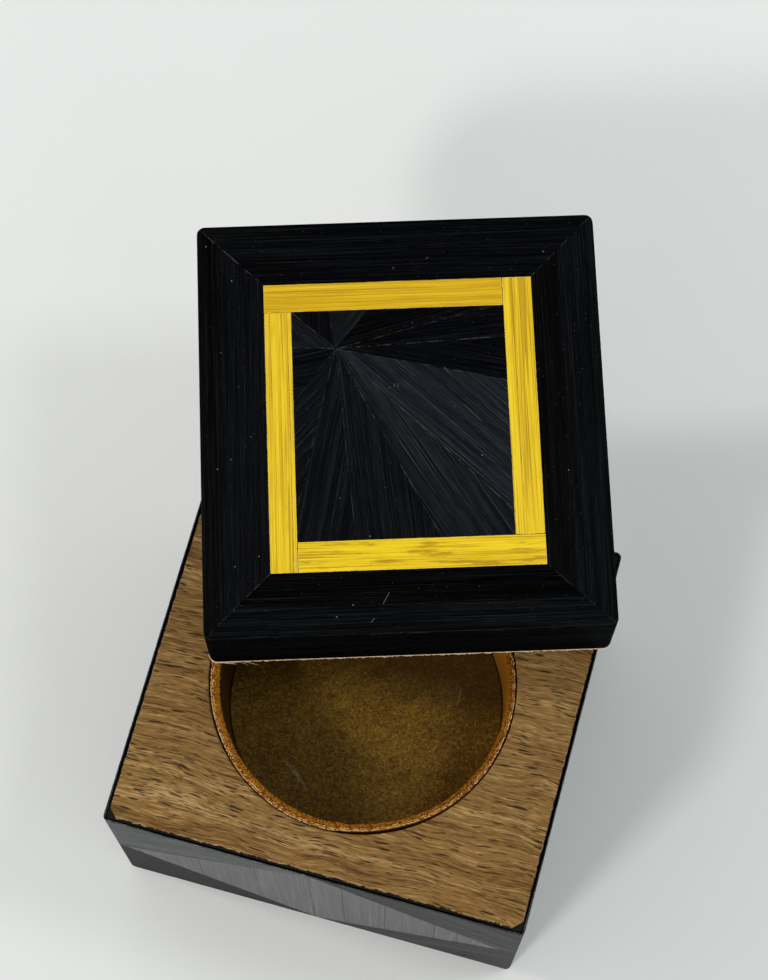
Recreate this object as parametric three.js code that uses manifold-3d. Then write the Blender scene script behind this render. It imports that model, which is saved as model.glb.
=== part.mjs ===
// A small boxed rosin cake: an oak box covered with black straw marquetry, a velvet-lined well
// that holds the cake, and a thick oak lid, veneered with a straw sunburst, laid across the box
// and turned away from it. Millimetres, +Z up, origin in the middle of the box's underside.
import * as THREE from 'three';
import { mergeVertices } from 'three/addons/utils/BufferGeometryUtils.js';
import Module from 'manifold-3d';

const wasm = await Module();
wasm.setup();

// ---- driving dimensions, mm ----
const BOX_LENGTH = 60;            // along X, the front edge
const BOX_WIDTH = 56;             // along Y
const BOX_HEIGHT = 40.5;
const STRAW = 0.4;                // straw skin with its glue
const GLUE_GAP = 0.05;            // between a straw skin and the oak under it
const BOX_ARRIS = 0.8;            // rounding of the box's upright corners
const OAK_CORNER_CUT = 1.6;       // the oak's own corners are cut off and packed with black filler
const DIAMOND_TIP_INSET = 2.5;    // from a side's end to the tip of its diamond

const WELL_CENTRE = { x: -0.6, y: 0.4 };
const WELL_RADIUS = 21.6;
const WELL_FLOOR = 10.5;          // height of the oak under the well
const LINING_OUTER_RADIUS = 21.3;
const LINING_INNER_RADIUS = 20.6;
const LINING_TOP_DROP = 0.1;      // the ribbon's edge ends just below the oak's top
const PAD_THICKNESS = 0.8;

const CAKE_RADIUS = 19.8;
const CAKE_THICKNESS = 15;
const CAKE_EDGE = 0.8;            // rounding of the cake's rims
const CAKE_SHIFT = 0.4;           // the loose cake lies against the right side of its well
const CAKE_REST_GAP = 0.05;

const LID_LENGTH = 60;            // along the lid's own Y
const LID_WIDTH = 56;
const LID_THICKNESS = 13.5;
const LID_ARRIS = 1.2;
const LID_RAW_LIP = 0.35;         // bare oak below the straw on the lid's edges
const LID_CENTRE = { x: -4.2, y: 34.4 };
const LID_TURN = THREE.MathUtils.degToRad(17.5);

const FRAME_OUTER = { x: 18.9, y: 21.1 };   // yellow frame, half sizes
const FRAME_INNER = { x: 15.0, y: 16.8 };
const SUN_CENTRE = { x: -8.8, y: 11.1 };

const ARC_STEPS = 6;
const ROUND_STEPS = 96;

// ---- looks ----
const LOOKS = {
  oak: { color: 0x9c7748, roughness: 0.7 },
  blackStraw: { color: 0x0a0b0d, roughness: 0.3 },
  yellowStraw: { color: 0xe3b81c, roughness: 0.35 },
  filler: { color: 0x060606, roughness: 0.6 },
  velvet: { color: 0xa8691f, roughness: 0.95 },
  rosin: { color: 0x4a3410, roughness: 0.55 },
};

const part = new THREE.Group();

function addPiece(parent, name, geometry, look) {
  const material = new THREE.MeshStandardMaterial({ ...LOOKS[look], metalness: 0 });
  const mesh = new THREE.Mesh(geometry, material);
  mesh.name = name;
  parent.add(mesh);
  return mesh;
}

// ---- shape helpers ----
function toSolid(geometry) {
  const bare = geometry.clone();
  bare.deleteAttribute('normal');
  bare.deleteAttribute('uv');
  const merged = mergeVertices(bare, 1e-5);
  return new wasm.Manifold(new wasm.Mesh({
    numProp: 3,
    vertProperties: new Float32Array(merged.attributes.position.array),
    triVerts: new Uint32Array(merged.index.array),
  }));
}

function toGeometry(solid) {
  const mesh = solid.getMesh();
  const geometry = new THREE.BufferGeometry();
  geometry.setAttribute('position', new THREE.BufferAttribute(new Float32Array(mesh.vertProperties), 3));
  geometry.setIndex(new THREE.BufferAttribute(new Uint32Array(mesh.triVerts), 1));
  geometry.computeVertexNormals();
  return geometry;
}

// A plan outline of [x, y] points raised from z = low to z = high.
function upright(points, low, high) {
  const shape = new THREE.Shape(points.map(([x, y]) => new THREE.Vector2(x, y)));
  const geometry = new THREE.ExtrudeGeometry(shape, { depth: high - low, bevelEnabled: false });
  return geometry.translate(0, 0, low);
}

// Quarter-circle points round a corner of a rounded rectangle, from angle a to angle b.
function arc(centreX, centreY, radius, a, b) {
  const points = [];
  for (let i = 0; i <= ARC_STEPS; i++) {
    const t = a + ((b - a) * i) / ARC_STEPS;
    points.push([centreX + radius * Math.cos(t), centreY + radius * Math.sin(t)]);
  }
  return points;
}

// The stretch of a rounded rectangle's outline on its -Y side, from one corner's middle to the next.
function frontStretch(halfX, halfY, radius) {
  const left = arc(-halfX + radius, -halfY + radius, radius, Math.PI * 1.25, Math.PI * 1.5);
  const right = arc(halfX - radius, -halfY + radius, radius, Math.PI * 1.5, Math.PI * 1.75);
  return [...left, ...right];
}

// One side of a straw jacket round a block: a thin strip with both its ends on the corner mitres.
function jacketSide(halfX, halfY, radius, low, high) {
  const outside = frontStretch(halfX, halfY, radius);
  const inside = frontStretch(halfX - STRAW, halfY - STRAW, radius - STRAW);
  return upright([...outside, ...inside.reverse()], low, high);
}

// The four sides of a block: each is made as a front and turned into place.
function sidesOf(length, width) {
  return [
    { name: 'front', turn: 0, halfX: length / 2, halfY: width / 2 },
    { name: 'right', turn: Math.PI / 2, halfX: width / 2, halfY: length / 2 },
    { name: 'back', turn: Math.PI, halfX: length / 2, halfY: width / 2 },
    { name: 'left', turn: -Math.PI / 2, halfX: width / 2, halfY: length / 2 },
  ];
}

// ---- oak box ----
function oakBlock() {
  const x = BOX_LENGTH / 2 - STRAW - GLUE_GAP;
  const y = BOX_WIDTH / 2 - STRAW - GLUE_GAP;
  const cut = OAK_CORNER_CUT;
  const outline = [
    [-x + cut, -y], [x - cut, -y], [x, -y + cut], [x, y - cut],
    [x - cut, y], [-x + cut, y], [-x, y - cut], [-x, -y + cut],
  ];
  const well = new THREE.CylinderGeometry(WELL_RADIUS, WELL_RADIUS, BOX_HEIGHT, ROUND_STEPS);
  well.rotateX(Math.PI / 2);
  well.translate(WELL_CENTRE.x, WELL_CENTRE.y, WELL_FLOOR + BOX_HEIGHT / 2);
  return toGeometry(toSolid(upright(outline, 0, BOX_HEIGHT)).subtract(toSolid(well)));
}

// The black packing in a cut-off oak corner; signs say which corner.
function cornerFiller(signX, signY) {
  const x = BOX_LENGTH / 2 - STRAW - GLUE_GAP;
  const y = BOX_WIDTH / 2 - STRAW - GLUE_GAP;
  const leg = OAK_CORNER_CUT - 2 * GLUE_GAP;
  const radius = BOX_ARRIS - STRAW;
  const round = arc(x - radius, y - radius, radius, 0, Math.PI / 2);
  const points = [[x - leg, y], [x, y - leg], ...round].map(([px, py]) => [px * signX, py * signY]);
  if (signX * signY < 0) points.reverse();
  return upright(points, 0, BOX_HEIGHT);
}

// The diamond and the four wedges of one side, as outlines in the side's own [along, up] plane.
function sideMarquetry(half) {
  const middle = BOX_HEIGHT / 2;
  const tip = half - DIAMOND_TIP_INSET;
  const wedge = (sign, edge) => [[sign * half, middle], [sign * half, edge], [0, edge], [sign * tip, middle]];
  return {
    diamond: [[-tip, middle], [0, 0], [tip, middle], [0, BOX_HEIGHT]],
    wedge_top_left: wedge(-1, BOX_HEIGHT),
    wedge_top_right: wedge(1, BOX_HEIGHT),
    wedge_bottom_left: wedge(-1, 0),
    wedge_bottom_right: wedge(1, 0),
  };
}

// Cuts a side's jacket strip to an outline in its [along, up] plane.
function cutFromSide(side, outline) {
  const reach = BOX_ARRIS + 1;
  const cutter = upright(outline, side.halfY - reach, side.halfY + reach);
  cutter.rotateX(Math.PI / 2);
  const strip = jacketSide(side.halfX, side.halfY, BOX_ARRIS, 0, BOX_HEIGHT);
  return toGeometry(toSolid(strip).intersect(toSolid(cutter)));
}

addPiece(part, 'oak_box_block', oakBlock(), 'oak');

for (const side of sidesOf(BOX_LENGTH, BOX_WIDTH)) {
  const turned = new THREE.Group();
  turned.rotation.z = side.turn;
  part.add(turned);
  for (const [piece, outline] of Object.entries(sideMarquetry(side.halfX))) {
    addPiece(turned, `${side.name}_straw_${piece}`, cutFromSide(side, outline), 'blackStraw');
  }
}

for (const [alongY, signY] of [['front', -1], ['back', 1]]) {
  for (const [alongX, signX] of [['left', -1], ['right', 1]]) {
    addPiece(part, `corner_filler_${alongY}_${alongX}`, cornerFiller(signX, signY), 'filler');
  }
}

// ---- well ----
function turnedSolid(profile, centreX, centreY) {
  const points = profile.map(([radius, height]) => new THREE.Vector2(radius, height));
  const geometry = new THREE.LatheGeometry(points, ROUND_STEPS);
  geometry.rotateX(Math.PI / 2);
  return geometry.translate(centreX, centreY, 0);
}

const liningTop = BOX_HEIGHT - LINING_TOP_DROP;
const liningLow = WELL_FLOOR + GLUE_GAP;
const padTop = liningLow + PAD_THICKNESS;

addPiece(part, 'well_lining_ribbon', turnedSolid([
  [LINING_INNER_RADIUS, liningLow],
  [LINING_OUTER_RADIUS, liningLow],
  [LINING_OUTER_RADIUS, liningTop],
  [LINING_INNER_RADIUS, liningTop],
  [LINING_INNER_RADIUS, liningLow],
], WELL_CENTRE.x, WELL_CENTRE.y), 'velvet');

const padRadius = LINING_INNER_RADIUS - 0.2;
addPiece(part, 'well_floor_pad', turnedSolid([
  [0, liningLow],
  [padRadius, liningLow],
  [padRadius, padTop],
  [0, padTop],
], WELL_CENTRE.x, WELL_CENTRE.y), 'velvet');

// ---- rosin cake ----
const cakeLow = padTop + CAKE_REST_GAP;
const cakeHigh = cakeLow + CAKE_THICKNESS;
const rim = CAKE_RADIUS - CAKE_EDGE;
const cakeProfile = [
  [0, cakeLow],
  ...arc(rim, cakeLow + CAKE_EDGE, CAKE_EDGE, -Math.PI / 2, 0),
  ...arc(rim, cakeHigh - CAKE_EDGE, CAKE_EDGE, 0, Math.PI / 2),
  [0, cakeHigh],
];
addPiece(part, 'rosin_cake', turnedSolid(cakeProfile, WELL_CENTRE.x + CAKE_SHIFT, WELL_CENTRE.y), 'rosin');

// ---- lid ----
const lid = new THREE.Group();
lid.rotation.z = LID_TURN;
lid.position.set(LID_CENTRE.x, LID_CENTRE.y, BOX_HEIGHT);
part.add(lid);

const veneerTop = LID_THICKNESS;
const veneerLow = LID_THICKNESS - STRAW;

function roundedBoard(halfX, halfY, radius, low, high) {
  const outline = [
    ...arc(-halfX + radius, -halfY + radius, radius, Math.PI, Math.PI * 1.5),
    ...arc(halfX - radius, -halfY + radius, radius, Math.PI * 1.5, Math.PI * 2),
    ...arc(halfX - radius, halfY - radius, radius, 0, Math.PI / 2),
    ...arc(-halfX + radius, halfY - radius, radius, Math.PI / 2, Math.PI),
  ];
  return upright(outline, low, high);
}

const boardInset = STRAW + GLUE_GAP;
addPiece(lid, 'lid_oak_board', roundedBoard(
  LID_WIDTH / 2 - boardInset, LID_LENGTH / 2 - boardInset, LID_ARRIS - boardInset,
  0, veneerLow - GLUE_GAP,
), 'oak');

// Edge skins stop short of the underside; the top border strips cap them and meet on mitres.
for (const side of sidesOf(LID_WIDTH, LID_LENGTH)) {
  const turned = new THREE.Group();
  turned.rotation.z = side.turn;
  lid.add(turned);
  const skin = jacketSide(side.halfX, side.halfY, LID_ARRIS, LID_RAW_LIP, veneerLow - GLUE_GAP);
  addPiece(turned, `lid_edge_straw_${side.name}`, skin, 'blackStraw');
  const upDown = side.turn === 0 || side.turn === Math.PI;
  const [frameX, frameY] = upDown ? [FRAME_OUTER.x, FRAME_OUTER.y] : [FRAME_OUTER.y, FRAME_OUTER.x];
  const border = [...frontStretch(side.halfX, side.halfY, LID_ARRIS), [frameX, -frameY], [-frameX, -frameY]];
  addPiece(turned, `lid_border_straw_${side.name}`, upright(border, veneerLow, veneerTop), 'blackStraw');
}

// Each yellow strip runs past the end of one neighbour and stops against the other.
const YELLOW_STRIPS = {
  back: [[-FRAME_OUTER.x, FRAME_INNER.y], [FRAME_INNER.x, FRAME_OUTER.y]],
  right: [[FRAME_INNER.x, -FRAME_INNER.y], [FRAME_OUTER.x, FRAME_OUTER.y]],
  front: [[-FRAME_INNER.x, -FRAME_OUTER.y], [FRAME_OUTER.x, -FRAME_INNER.y]],
  left: [[-FRAME_OUTER.x, -FRAME_OUTER.y], [-FRAME_INNER.x, FRAME_INNER.y]],
};
for (const [name, [[x0, y0], [x1, y1]]] of Object.entries(YELLOW_STRIPS)) {
  const outline = [[x0, y0], [x1, y0], [x1, y1], [x0, y1]];
  addPiece(lid, `lid_yellow_strip_${name}`, upright(outline, veneerLow, veneerTop), 'yellowStraw');
}

// Sunburst: rays run from its off-centre heart to these points on the field's rim, anticlockwise
// from the right. A ray that passes a corner of the field takes that corner into its outline.
const RIM = { right: FRAME_INNER.x, left: -FRAME_INNER.x, back: FRAME_INNER.y, front: -FRAME_INNER.y };
const RIM_POINTS = [
  [RIM.right, 5.7], [RIM.right, 12.1], [13.6, RIM.back], [-4.2, RIM.back], [-9.6, RIM.back],
  [RIM.left, RIM.back], [RIM.left, 11.4], [RIM.left, 3.3], [RIM.left, -12.6], [-6.9, RIM.front],
  [4.8, RIM.front], [RIM.right, -13.3],
];
const cornersPassed = {
  1: [RIM.right, RIM.back],
  8: [RIM.left, RIM.front],
  10: [RIM.right, RIM.front],
};
RIM_POINTS.forEach((start, i) => {
  const end = RIM_POINTS[(i + 1) % RIM_POINTS.length];
  const corner = cornersPassed[i] ? [cornersPassed[i]] : [];
  const outline = [[SUN_CENTRE.x, SUN_CENTRE.y], start, ...corner, end];
  const name = `lid_sun_ray_${String(i + 1).padStart(2, '0')}`;
  addPiece(lid, name, upright(outline, veneerLow, veneerTop), 'blackStraw');
});

export default part;
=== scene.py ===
import math

import bpy
import numpy as np
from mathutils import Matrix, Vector, noise


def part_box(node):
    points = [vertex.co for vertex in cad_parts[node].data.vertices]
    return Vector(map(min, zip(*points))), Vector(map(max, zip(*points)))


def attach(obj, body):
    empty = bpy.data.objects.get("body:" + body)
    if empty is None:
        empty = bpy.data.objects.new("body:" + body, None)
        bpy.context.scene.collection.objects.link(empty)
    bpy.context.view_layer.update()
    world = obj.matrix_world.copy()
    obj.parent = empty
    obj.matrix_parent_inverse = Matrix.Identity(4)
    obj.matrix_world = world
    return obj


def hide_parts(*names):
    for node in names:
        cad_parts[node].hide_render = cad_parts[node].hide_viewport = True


# A boxed rosin cake. The oak box, its straw marquetry, the velvet-lined well, the rosin and the
# straw-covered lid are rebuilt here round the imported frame. Lengths are in millimetres in the row
# frame until a mesh is made, which turns them into metres.

MM = 0.001
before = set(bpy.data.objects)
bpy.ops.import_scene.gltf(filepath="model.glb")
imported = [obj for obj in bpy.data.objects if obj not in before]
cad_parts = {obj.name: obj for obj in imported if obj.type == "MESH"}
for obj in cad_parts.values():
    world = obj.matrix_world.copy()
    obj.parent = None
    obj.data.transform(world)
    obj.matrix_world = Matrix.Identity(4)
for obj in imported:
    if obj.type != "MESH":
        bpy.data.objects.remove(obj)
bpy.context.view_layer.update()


def box_mm(node):
    """A CAD node's lowest and highest corner, in millimetres."""
    low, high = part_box(node)
    return np.array(low) / MM, np.array(high) / MM


# ---- sizes, from the frame where a box gives them ----
BOX_HIGH = box_mm("oak_box_block")[1]
BOX_HALF_X, BOX_HALF_Y = 30.0, 28.0
BOX_TOP = BOX_HIGH[2]
BOX_ARRIS = 0.8
OAK_HALF_X, OAK_HALF_Y = BOX_HIGH[0], BOX_HIGH[1]
OAK_CORNER_CUT = 1.6
DIAMOND_INSET_LEFT, DIAMOND_INSET_RIGHT = 1.7, 2.5

LINING_LOW, LINING_HIGH = box_mm("well_lining_ribbon")
WELL_CENTRE = (LINING_LOW + LINING_HIGH)[:2] / 2
WELL_RADIUS = 21.6
WELL_FLOOR = LINING_LOW[2] - 0.05
PAD_LOW, PAD_HIGH = box_mm("well_floor_pad")
CAKE_LOW, CAKE_HIGH = box_mm("rosin_cake")
CAKE_CENTRE = (CAKE_LOW + CAKE_HIGH)[:2] / 2
CAKE_RADIUS = (CAKE_HIGH[0] - CAKE_LOW[0]) / 2

RIBBON_LOW, RIBBON_HIGH = LINING_LOW[2], LINING_HIGH[2] - 0.05
LID_HALF_X, LID_HALF_Y = 28.2, 30.15
LID_ARRIS = 1.2
LID_TURN = math.radians(17.5)
LID_BOARD_LOW, LID_BOARD_HIGH = box_mm("lid_oak_board")
LID_CENTRE = (LID_BOARD_LOW + LID_BOARD_HIGH)[:2] / 2
LID_BASE = LID_BOARD_LOW[2]
LID_THICKNESS = box_mm("lid_border_straw_front")[1][2] - LID_BASE
LID_RAW_LIP = 0.35
STRAW_SKIN = 0.4
OUTER_LEFT, OUTER_RIGHT, OUTER_FRONT, OUTER_BACK = -18.9, 18.9, -21.2, 20.95   # yellow frame
INNER_LEFT, INNER_RIGHT, INNER_FRONT, INNER_BACK = -15.1, 14.8, -16.85, 16.8
SUN_CENTRE = (-9.0, 11.1)

JOINT = 0.03          # gap between neighbouring pieces of marquetry
SEAM = 0.02           # gap between two straws of one piece of the lid
SIDE_SEAM = 0.045     # and on the box's sides
BUTT = 0.06           # gap where a yellow strip's end meets its neighbour
STRAW_DEPTH = 0.36    # how far a straw of the lid reaches below its surface
SIDE_DEPTH = 0.16     # and one on the box's sides
FAR = 9.0             # the distance from a rim, for points where it doesn't matter
SIDE_TURNS = {"front": 0, "right": 90, "back": 180, "left": -90}


# ---- camera ----
camera_data = bpy.data.cameras.new("camera")
camera_data.sensor_width = 36
camera_data.lens = 93.906
camera_data.clip_start = 0.01
camera_data.clip_end = 20
camera = bpy.data.objects.new("camera", camera_data)
camera.location = Vector((22.925, -75.452, 390.339)) * MM
camera.rotation_euler = [math.radians(angle) for angle in (17.054, -0.066, 15.393)]
bpy.context.scene.collection.objects.link(camera)
bpy.context.scene.camera = camera
bpy.context.scene.view_settings.view_transform = "Standard"


# ---- meshes ----
def make_mesh(name, points, faces, values=None, sharp=40):
    """An object from millimetre points. values holds one number or one vector for each point."""
    mesh = bpy.data.meshes.new(name)
    mesh.from_pydata((np.asarray(points, float) * MM).tolist(), [], faces)
    for key, value in (values or {}).items():
        value = np.asarray(value, np.float32)
        kind, field = ("FLOAT", "value") if value.ndim == 1 else ("FLOAT_VECTOR", "vector")
        mesh.attributes.new(key, kind, "POINT").data.foreach_set(field, value.ravel())
    mesh.shade_smooth()
    mesh.set_sharp_from_angle(angle=math.radians(sharp))
    piece = bpy.data.objects.new(name, mesh)
    bpy.context.scene.collection.objects.link(piece)
    return piece


def finish_piece(piece, body, look, slot, *nodes):
    """Gives a piece its material and its body, and hides the CAD nodes that it stands for. slot is not used.
    """
    piece.data.materials.append(look)
    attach(piece, body)
    if nodes:
        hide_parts(*nodes)
    return piece


def loft(loops, close_first=True, close_last=True):
    """Points and faces of a skin over closed loops of equal length, each an (n, 3) array."""
    count = len(loops[0])
    points = np.concatenate(loops)
    faces = []
    for i in range(len(loops) - 1):
        low, high = i * count, (i + 1) * count
        for j in range(count):
            k = (j + 1) % count
            faces.append((low + j, low + k, high + k, high + j))
    if close_first:
        faces.append(tuple(range(count - 1, -1, -1)))
    if close_last:
        start = (len(loops) - 1) * count
        faces.append(tuple(range(start, start + count)))
    return points, faces


def smooth_step(x):
    x = np.clip(x, 0, 1)
    return x * x * (3 - 2 * x)


# ---- places on the box and the lid ----
def turned(x, y, angle):
    return x * math.cos(angle) - y * math.sin(angle), x * math.sin(angle) + y * math.cos(angle)


def box_to_row(x, y, z):
    return np.stack([x, y, z], axis=-1)


def rectangle(x0, y0, x1, y1):
    """Its corners, anticlockwise from the one with the lowest x and y."""
    return [(x0, y0), (x1, y0), (x1, y1), (x0, y1)]


def lid_to_row(x, y, z):
    """From the lid's own frame, with z above its underside, to the row frame."""
    row_x, row_y = turned(x, y, LID_TURN)
    return np.stack([row_x + LID_CENTRE[0], row_y + LID_CENTRE[1], z + LID_BASE], axis=-1)


def round_plan(x, y, half_x, half_y, radius):
    """Draws the square corners of a plan in to a radius."""
    over_x = np.abs(x) - (half_x - radius)
    over_y = np.abs(y) - (half_y - radius)
    corner = (over_x > 0) & (over_y > 0)
    longest = np.maximum(over_x, over_y)
    scale = np.where(corner, longest / np.maximum(np.hypot(over_x, over_y), 1e-9), 1)
    new_x = np.where(corner, np.sign(x) * (half_x - radius + over_x * scale), x)
    new_y = np.where(corner, np.sign(y) * (half_y - radius + over_y * scale), y)
    return new_x, new_y


LID_EASE_WIDTH, LID_EASE_DROP = 0.28, 0.12


def lid_face(a, b, h):
    """A point of the lid's top: its own x and y, and its height above the straw's surface."""
    inside = np.minimum(LID_HALF_X - np.abs(a), LID_HALF_Y - np.abs(b))
    bend = np.clip(1 - inside / LID_EASE_WIDTH, 0, 1)
    drop = LID_EASE_DROP * (1 - np.sqrt(np.clip(1 - bend * bend, 0, 1)))
    drop = np.where(h < -0.2, 0, drop)
    x, y = round_plan(a, b, LID_HALF_X, LID_HALF_Y, LID_ARRIS)
    return lid_to_row(x, y, LID_THICKNESS + h - drop)


def jacket(side, half_x, half_y, radius, to_row):
    """The skin on one side of a block: along the side, up, and outwards. It bends round to the mitres."""
    turn = math.radians(SIDE_TURNS[side])
    sideways = side in ("right", "left")
    half_along, half_out = (half_y, half_x) if sideways else (half_x, half_y)
    flat = half_along - radius

    def place(a, b, h):
        angle = np.clip(np.abs(a) - flat, 0, None) / radius
        reach = radius + h
        x = np.sign(a) * (np.minimum(np.abs(a), flat) + reach * np.sin(angle))
        y = -(half_out - radius + reach * np.cos(angle))
        x, y = turned(x, y, turn)
        return to_row(x, y, b)

    return place, flat + radius * math.pi / 4


# ---- straw ----
STRAW_WIDTH = 4.4     # about how wide a straw is where its piece has no seams of its own
NARROWEST = 0.12      # narrower straws are left out
SHORTEST = 0.1        # a straw's side moves in until it is this long
CROWN = 0.008         # how far a straw's middle stands above its sides
BEVEL, BEVEL_DROP = 0.08, 0.02
COLUMN, ROW = 0.2, 3.5            # how far apart a straw's points are, across and along it
END_INSETS = np.array([0, 0.03, 0.1, 0.35, 0.7, 1.1, 1.6])    # and near its ends
END = END_INSETS[-1]
SIDE_INSETS = [0, 0.03]           # and near its sides
NEAR_SIDE = 0.02      # a corner of the outline this near a straw's side gets no points of its own


def sides(outline):
    """Each side of an outline, as the two places where it starts and ends."""
    return zip(outline, outline[1:] + outline[:1])


def anticlockwise(outline):
    area = sum(x0 * y1 - x1 * y0 for (x0, y0), (x1, y1) in sides(outline))
    return outline if area > 0 else outline[::-1]


def shrunk(outline, gap):
    """Moves each edge of a convex outline inwards."""
    outline = anticlockwise([tuple(p) for p in outline])
    lines = []
    for (x0, y0), (x1, y1) in sides(outline):
        length = math.hypot(x1 - x0, y1 - y0)
        normal = (-(y1 - y0) / length, (x1 - x0) / length)
        lines.append((normal, normal[0] * x0 + normal[1] * y0 + gap))
    moved = []
    for (n0, d0), (n1, d1) in zip(lines[-1:] + lines[:-1], lines):
        moved.append(np.linalg.solve(np.array([n0, n1]), np.array([d0, d1])))
    return moved


def reach_at(outline, v):
    """Where a line at v across the grain enters and leaves a convex outline."""
    hits = []
    for (u0, v0), (u1, v1) in sides(outline):
        if v0 != v1 and (v0 - v) * (v1 - v) <= 0:
            hits.append(u0 + (u1 - u0) * (v - v0) / (v1 - v0))
    return (min(hits), max(hits)) if hits else (0, 0)


def blunted(outline, v, towards):
    """Moves v in small steps towards the straw's middle until the straw has some length there."""
    steps, share = 60, 0.02
    for _ in range(steps):
        low, high = reach_at(outline, v)
        if high - low >= SHORTEST:
            break
        v += (towards - v) * share
    return v


class Straws:
    """Collects the straws of one piece of marquetry."""

    def __init__(self, place, grain, rng, tone, stain, glint, depth):
        self.place, self.rng, self.base_tone, self.stain, self.glint = place, rng, tone, stain, glint
        self.depth = depth
        self.cos, self.sin = math.cos(math.radians(grain)), math.sin(math.radians(grain))
        self.points, self.faces, self.outline = [], [], []
        self.values = {}
        self.count = 0

    def to_plane(self, u, v):
        return u * self.cos - v * self.sin, u * self.sin + v * self.cos

    def from_rim(self, u, v):
        """How far each point is inside the piece's outline."""
        nearest = np.full(len(u), FAR)
        for (u0, v0), (u1, v1) in sides(self.outline):
            length = math.hypot(u1 - u0, v1 - v0)
            nearest = np.minimum(nearest, ((u1 - u0) * (v - v0) - (v1 - v0) * (u - u0)) / length)
        return np.clip(nearest, 0, FAR)

    def put(self, u, v, h, edge, tone, offset):
        """Adds points and returns the first one's number."""
        a, b = self.to_plane(u, v)
        spots = self.place(a, b, h)
        across = self.place(*self.to_plane(u, v + 0.01), h) - spots
        across /= np.maximum(np.linalg.norm(across, axis=1, keepdims=True), 1e-9)
        self.points.append(spots)
        values = {"grain": np.stack([u, v, np.full_like(u, offset)], axis=1), "across": across,
                  "spot": np.stack([a, b, np.zeros_like(a)], axis=1), "edge": edge,
                  "rim": self.from_rim(u, v)}
        for key, value in (("tone", tone), ("stain", self.stain), ("glint", self.glint)):
            values[key] = np.full_like(u, value)
        for key, value in values.items():
            self.values.setdefault(key, []).append(value)
        first = self.count
        self.count += len(u)
        return first

    def straw(self, v0, v1, ridge, lift):
        """One flattened straw from v0 to v1 across the grain, a closed solid."""
        middle = (v0 + v1) / 2
        v0, v1 = blunted(self.outline, v0, middle), blunted(self.outline, v1, middle)
        width = v1 - v0
        if width < NARROWEST:
            return
        corners = [v for _, v in self.outline if v0 + NEAR_SIDE < v < v1 - NEAR_SIDE]
        inner = np.linspace(v0 + BEVEL, v1 - BEVEL, max(2, round(width / COLUMN)))
        near = np.array(SIDE_INSETS if width > 5 * BEVEL else [0])
        columns = np.concatenate([v0 + near, inner, v1 - near, corners])
        columns = np.unique(np.round(columns, 4))
        starts, ends = np.array([reach_at(self.outline, v) for v in columns]).T
        lengths = ends - starts
        scale = np.minimum(1, lengths / (2.4 * END))       # draws the end rows together where it is short
        middles = max(0, round((lengths.max() - 2 * END) / ROW))
        low, high = starts + END * scale, ends - END * scale
        rows = [starts + inset * scale for inset in END_INSETS]
        rows += [low + (high - low) * ((i + 1) / (middles + 1)) for i in range(middles)]
        rows += [ends - inset * scale for inset in END_INSETS[::-1]]
        u = np.array(rows)
        v = np.broadcast_to(columns, u.shape)
        n_rows, n_columns = u.shape

        from_side = np.minimum(v - columns[0], columns[-1] - v)
        x = (v - middle) / (width / 2)
        ridges = self.rng.normal(0, 1, (2, n_columns))
        blend = 0.5 + 0.5 * np.sin(u * 0.13 + self.rng.uniform(0, 6.28))
        h = CROWN * (1 - x * x) + ridge * (ridges[0] * blend + ridges[1] * (1 - blend)) + lift
        h = h - BEVEL_DROP * np.clip(1 - from_side / BEVEL, 0, 1) ** 2
        h[0] -= BEVEL_DROP
        h[-1] -= BEVEL_DROP
        edge = np.clip(1 - from_side / BEVEL, 0, 1)
        tone, offset = self.base_tone + self.rng.uniform(-0.08, 0.08), self.rng.uniform(0, 900)
        top = self.put(u.ravel(), v.ravel(), h.ravel(), edge.ravel(), tone, offset)

        # Underneath, only the two ends have a point for every column. Between them the columns at the
        # sides and at the outline's corners are enough.
        corner_columns = [int(np.argmin(np.abs(columns - c))) for c in corners]
        keys = sorted({0, n_columns - 1, *corner_columns})
        below, wanted = {}, []
        for r in range(n_rows):
            used = range(n_columns) if r in (0, n_rows - 1) else keys
            for c in used:
                below[r, c] = len(wanted)
                wanted.append((r, c))
        r_index, c_index = np.array(wanted).T
        deep = np.full(len(wanted), -self.depth)
        low_u, low_v = u[r_index, c_index], v[r_index, c_index]
        base = self.put(low_u, low_v, deep, np.zeros(len(wanted)), tone, offset)

        def upper(r, c):
            return top + r * n_columns + c

        def lower(r, c):
            return base + below[r, c]

        faces = self.faces
        end, last = n_rows - 1, n_columns - 1
        for r in range(end):
            for c in range(last):
                faces.append((upper(r, c), upper(r + 1, c), upper(r + 1, c + 1), upper(r, c + 1)))
            faces.append((lower(r, 0), lower(r + 1, 0), upper(r + 1, 0), upper(r, 0)))
            faces.append((upper(r, last), upper(r + 1, last), lower(r + 1, last), lower(r, last)))
        for c in range(last):
            faces.append((lower(0, c), upper(0, c), upper(0, c + 1), lower(0, c + 1)))
            faces.append((lower(end, c + 1), upper(end, c + 1), upper(end, c), lower(end, c)))
        for ka, kb in zip(keys, keys[1:]):
            first_row = [lower(0, c) for c in range(ka, kb + 1)]
            faces.append((*first_row, lower(1, kb), lower(1, ka)))
            last_row = [lower(end, c) for c in range(kb, ka - 1, -1)]
            faces.append((lower(end - 1, ka), lower(end - 1, kb), *last_row))
            for r in range(1, end - 1):
                faces.append((lower(r, ka), lower(r, kb), lower(r + 1, kb), lower(r + 1, ka)))


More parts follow.
